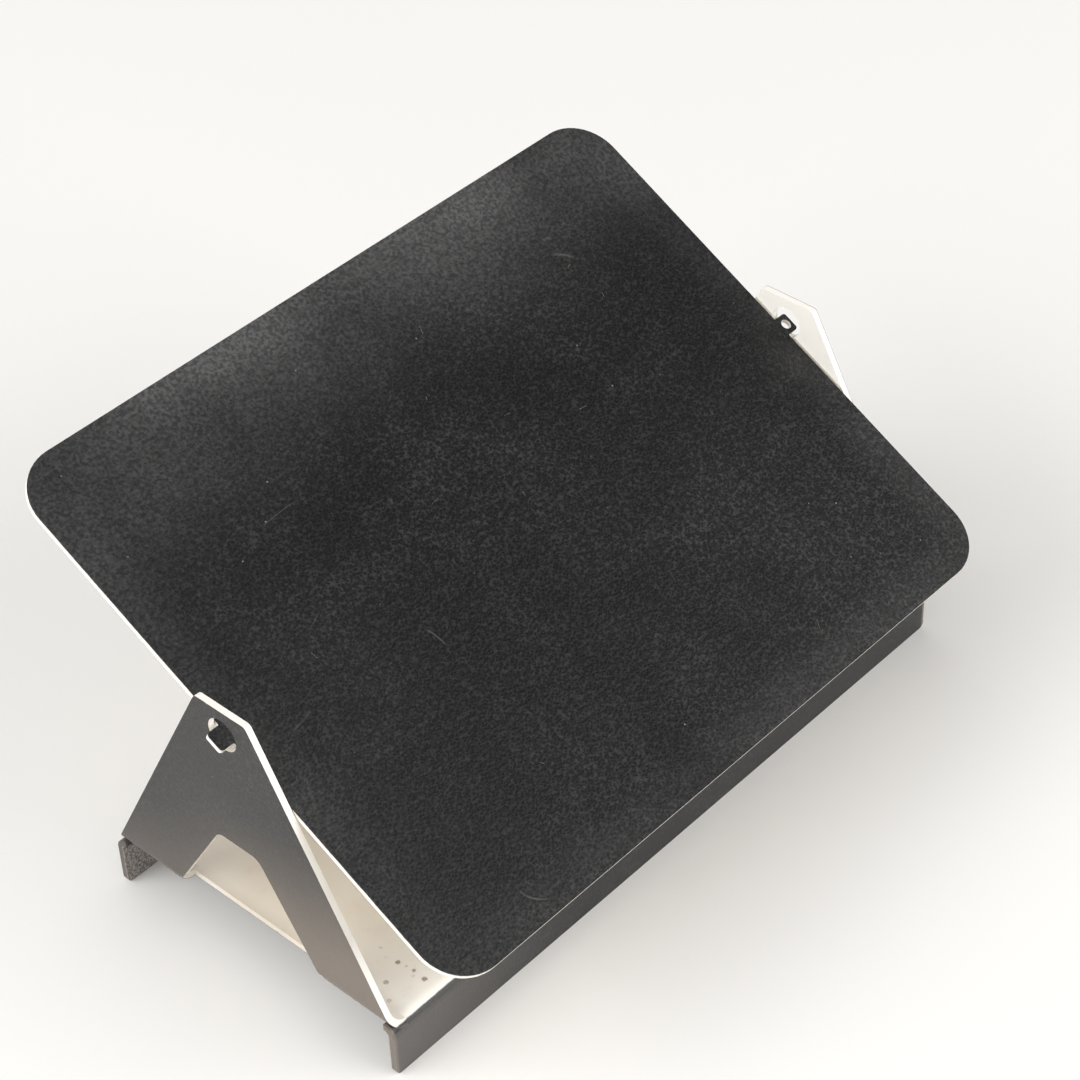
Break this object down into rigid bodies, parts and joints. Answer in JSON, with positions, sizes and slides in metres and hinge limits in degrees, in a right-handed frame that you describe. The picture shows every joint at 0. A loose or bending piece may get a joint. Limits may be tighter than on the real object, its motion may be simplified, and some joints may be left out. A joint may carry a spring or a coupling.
{
  "type": "wall light with a pivoting flap",
  "caption": "Small wall light: a pressed sheet base with two upright end plates, a screw-in bulb over its panel and a flat flap that pivots on the end plates.",
  "frame": {"origin": "centre of the panel's upper face, midway between the two wall-screw holes", "axes": "+X along the flap's hinge line, +Y across the base towards the flap's raised edge, +Z away from the wall"},
  "size_m": [0.1705, 0.114, 0.0965],
  "materials": {
    "black_paint": "matt fine-grained black powder coat outside, cream paint on the reflecting inside and the cut edges",
    "plated_steel": "dull zinc-plated pressed steel",
    "brass": "turned brass, slightly tarnished",
    "thermoplastic": "moulded black thermosetting plastic, half gloss",
    "ceramic": "glazed white insulator",
    "bulb_glass": "frosted lamp glass",
    "clear_glass": "clear lead glass",
    "vitrite": "black glassy insulator",
    "lamp_wire": "grey drawn lamp wire",
    "cap_metal": "plated screw cap",
    "grommet_rubber": "soft black rubber",
    "block_plastic": "off-white moulded nylon",
    "live_sheath": "brown flexible insulation",
    "neutral_sheath": "blue flexible insulation",
    "earth_sheath": "green and yellow flexible insulation"
  },
  "bodies": {
    "base": {"base_bracket": "black_paint", "bracket_nuts": "plated_steel", "bracket_screws": "plated_steel", "bracket_washers": "plated_steel", "bulb_cap": "cap_metal", "bulb_contact": "brass", "bulb_filament": "lamp_wire", "bulb_glass": "bulb_glass", "bulb_insulator": "vitrite", "bulb_stem": "clear_glass", "bulb_supports": "lamp_wire", "earth_lead": "earth_sheath", "earth_nut": "brass", "earth_screw": "brass", "earth_tag": "brass", "lampholder_body": "thermoplastic", "lampholder_bracket": "plated_steel", "lampholder_contact": "brass", "lampholder_core": "ceramic", "lampholder_shell": "brass", "lampholder_terminals": "brass", "lampholder_tube": "plated_steel", "live_lead": "live_sheath", "neutral_lead": "neutral_sheath", "panel_grommet": "grommet_rubber", "terminal_block": "block_plastic", "terminal_clamps": "plated_steel", "terminal_nuts": "plated_steel", "terminal_screws": "plated_steel", "terminal_ways": "brass", "tube_nuts": "plated_steel"},
    "flap": {"flap": "black_paint"}
  },
  "joints": [
    {"name": "flap_tilt", "type": "hinge", "parent": "base", "child": "flap", "pos_m": [0, 0, 0.0534], "axis": [1, 0, 0], "range_deg": [-79, 21]}
  ]
}
